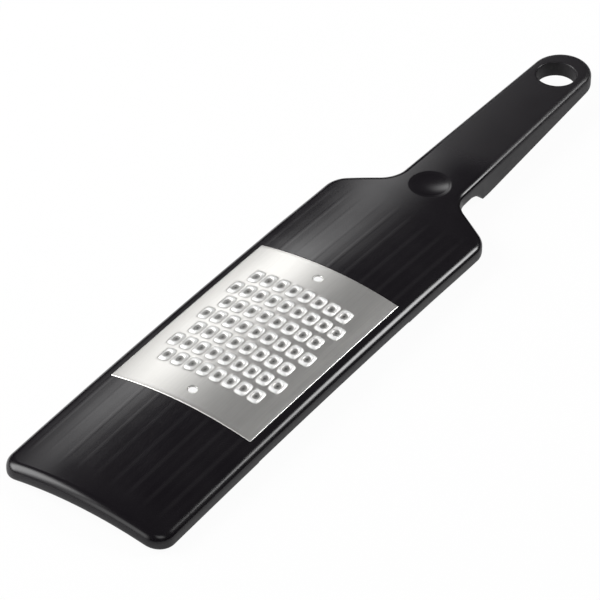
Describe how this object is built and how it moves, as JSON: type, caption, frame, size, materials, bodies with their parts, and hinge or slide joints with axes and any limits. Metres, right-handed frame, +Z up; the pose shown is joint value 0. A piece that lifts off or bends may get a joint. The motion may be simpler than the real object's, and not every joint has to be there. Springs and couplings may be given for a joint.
{
  "type": "ginger grater",
  "caption": "Hand grater for ginger: arched black board with an inset steel plate of punched teeth, a thumb dish, a bowl stop under the neck and a slim handle with a hanging hole.",
  "frame": {"origin": "under the middle of the overall length, on the centre line, at the surface that the grater lies on", "axes": "+X from the front edge towards the handle's tip, +Y across to the left seen from above with the handle pointing away, +Z up out of the toothed face"},
  "size_m": [0.2743, 0.0616, 0.0118],
  "materials": {
    "body_plastic": "satin black, fine lengthwise hairlines on the board",
    "plate_steel": "stainless sheet, brushed lengthwise",
    "frame_plastic": "plain satin black"
  },
  "bodies": {
    "root": {"body": "body_plastic", "grating_plate": "plate_steel", "plate_retaining_frame": "frame_plastic"}
  },
  "joints": []
}
